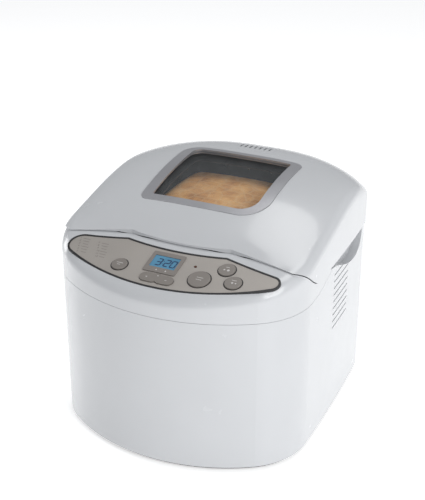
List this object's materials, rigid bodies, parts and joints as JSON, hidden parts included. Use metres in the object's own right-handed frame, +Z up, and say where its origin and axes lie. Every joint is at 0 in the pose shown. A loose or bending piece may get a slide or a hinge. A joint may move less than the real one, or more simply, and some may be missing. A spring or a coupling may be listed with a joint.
{
  "type": "bread machine",
  "caption": "Compact countertop bread machine with a domed windowed lid, lens-shaped control panel, bowed front, lift-out pan, kneading paddle and belt drive.",
  "frame": {"origin": "bottom centre of the machine's overall footprint, hinge knuckles included, on the plane its feet rest on", "axes": "+Z up, front and control panel towards -Y, hinge towards +Y, +X to the right of a person facing the front"},
  "size_m": [0.283, 0.3167, 0.2639],
  "materials": {
    "white_casing": "smooth glossy",
    "black_plastic": "fine matte",
    "panel_taupe": "satin metallic paint",
    "panel_gasket": "satin black",
    "key_taupe": "satin",
    "bezel_taupe": "satin",
    "lcd_glass": "clear blue",
    "lcd_module": "backlit display",
    "led_lens": "frosted",
    "circuit_board": "solder mask",
    "switch_black": "matte",
    "screw_steel": "zinc plated",
    "oven_steel": "dark coated sheet",
    "element_steel": "heat darkened",
    "fuse_body": "ceramic",
    "cast_aluminium": "as cast",
    "chassis_steel": "galvanised",
    "motor_steel": "painted can",
    "capacitor": "satin can",
    "belt_rubber": "ribbed",
    "shaft_steel": "ground",
    "pulley_nylon": "natural nylon",
    "pan_coating": "non-stick coating",
    "bush_ptfe": "bearing polymer",
    "crust": "baked crust",
    "bail_wire": "coated wire",
    "frame_silver": "silver paint",
    "window_glass": "clear",
    "liner_dark": "dark coated sheet",
    "silicone": "soft grey",
    "hinge_white": "smooth",
    "foot_rubber": "matte"
  },
  "bodies": {
    "housing": {"body_shell": "white_casing", "base_tray": "black_plastic", "rubber_feet": "foot_rubber", "rear_grille": "black_plastic", "cord_gland": "black_plastic", "control_deck": "white_casing", "panel_gasket": "panel_gasket", "control_panel": "panel_taupe", "lcd_bezel": "bezel_taupe", "lcd_lens": "lcd_glass", "lcd_module": "lcd_module", "indicator_led": "led_lens", "control_board": "circuit_board", "key_switches": "switch_black", "board_screws": "screw_steel", "oven_chamber": "oven_steel", "heating_element": "element_steel", "element_clips": "screw_steel", "temperature_sensor": "shaft_steel", "thermal_fuse": "fuse_body", "pan_seat": "cast_aluminium", "drive_bearing": "cast_aluminium", "chassis_plate": "chassis_steel", "chassis_screws": "screw_steel", "tray_screws": "screw_steel", "motor": "motor_steel", "power_board": "circuit_board", "motor_capacitor": "capacitor", "drive_belt": "belt_rubber", "hinge_brackets": "hinge_white", "bracket_screws": "screw_steel", "hinge_pins": "shaft_steel"},
    "lid": {"lid_shell": "white_casing", "window_frame": "frame_silver", "window_glass": "window_glass", "lid_inner_panel": "liner_dark", "inner_glass": "window_glass", "vent_insert": "black_plastic", "lid_seal": "silicone", "lid_screws": "screw_steel", "hinge_arms": "hinge_white"},
    "pan": {"baking_pan": "pan_coating", "pan_collar": "cast_aluminium", "pan_bush": "bush_ptfe", "bread_loaf": "crust"},
    "bail": {"pan_handle": "bail_wire"},
    "paddle": {"pan_shaft": "shaft_steel", "pan_coupling": "cast_aluminium", "kneading_paddle": "pan_coating"},
    "drive": {"drive_shaft": "shaft_steel", "drive_coupling": "cast_aluminium", "large_pulley": "pulley_nylon"},
    "motor_rotor": {"motor_shaft": "shaft_steel", "motor_pulley": "cast_aluminium"},
    "menu_key": {"menu_button": "key_taupe"},
    "start_key": {"start_button": "key_taupe"},
    "size_key": {"size_button": "key_taupe"},
    "crust_key": {"crust_button": "key_taupe"},
    "timer_key": {"timer_rocker": "key_taupe"}
  },
  "joints": [
    {"name": "lid_hinge", "type": "hinge", "parent": "housing", "child": "lid", "pos_m": [0, 0.15315, 0.189], "axis": [-1, 0, 0], "range_deg": [0, 90]},
    {"name": "pan_turn", "type": "hinge", "parent": "housing", "child": "pan", "pos_m": [0, 0.04365, 0.056], "axis": [0, 0, 1], "range_deg": [0, 15]},
    {"name": "bail_swing", "type": "hinge", "parent": "pan", "child": "bail", "pos_m": [0, 0.04365, 0.186], "axis": [1, 0, 0], "range_deg": [0, 45]},
    {"name": "drive_spin", "type": "hinge", "parent": "housing", "child": "drive", "pos_m": [0, 0.04365, 0.03], "axis": [0, 0, 1], "continuous": true},
    {"name": "paddle_spin", "type": "hinge", "parent": "pan", "child": "paddle", "pos_m": [0, 0.04365, 0.07], "axis": [0, 0, 1], "continuous": true},
    {"name": "motor_spin", "type": "hinge", "parent": "housing", "child": "motor_rotor", "pos_m": [0, -0.10735, 0.05], "axis": [0, 0, 1], "continuous": true},
    {"name": "menu_press", "type": "slide", "parent": "housing", "child": "menu_key", "axis": [0, 0.279, -0.9603], "range_m": [0, 0.0015], "stiffness_N_per_m": 800, "springref_m": -0.0003},
    {"name": "start_press", "type": "slide", "parent": "housing", "child": "start_key", "axis": [0, 0.279, -0.9603], "range_m": [0, 0.0015], "stiffness_N_per_m": 800, "springref_m": -0.0003},
    {"name": "size_press", "type": "slide", "parent": "housing", "child": "size_key", "axis": [0, 0.279, -0.9603], "range_m": [0, 0.0015], "stiffness_N_per_m": 800, "springref_m": -0.0003},
    {"name": "crust_press", "type": "slide", "parent": "housing", "child": "crust_key", "axis": [0, 0.279, -0.9603], "range_m": [0, 0.0015], "stiffness_N_per_m": 800, "springref_m": -0.0003},
    {"name": "timer_rock", "type": "hinge", "parent": "housing", "child": "timer_key", "pos_m": [0.0015, -0.13176, 0.19822], "axis": [0, 0.9603, 0.279], "range_deg": [-3, 3], "stiffness_Nm_per_rad": 0.4}
  ],
  "couplings": [
    {"joint": "paddle_spin", "follows": "drive_spin", "ratio": 1},
    {"joint": "motor_spin", "follows": "drive_spin", "ratio": 6.5}
  ]
}
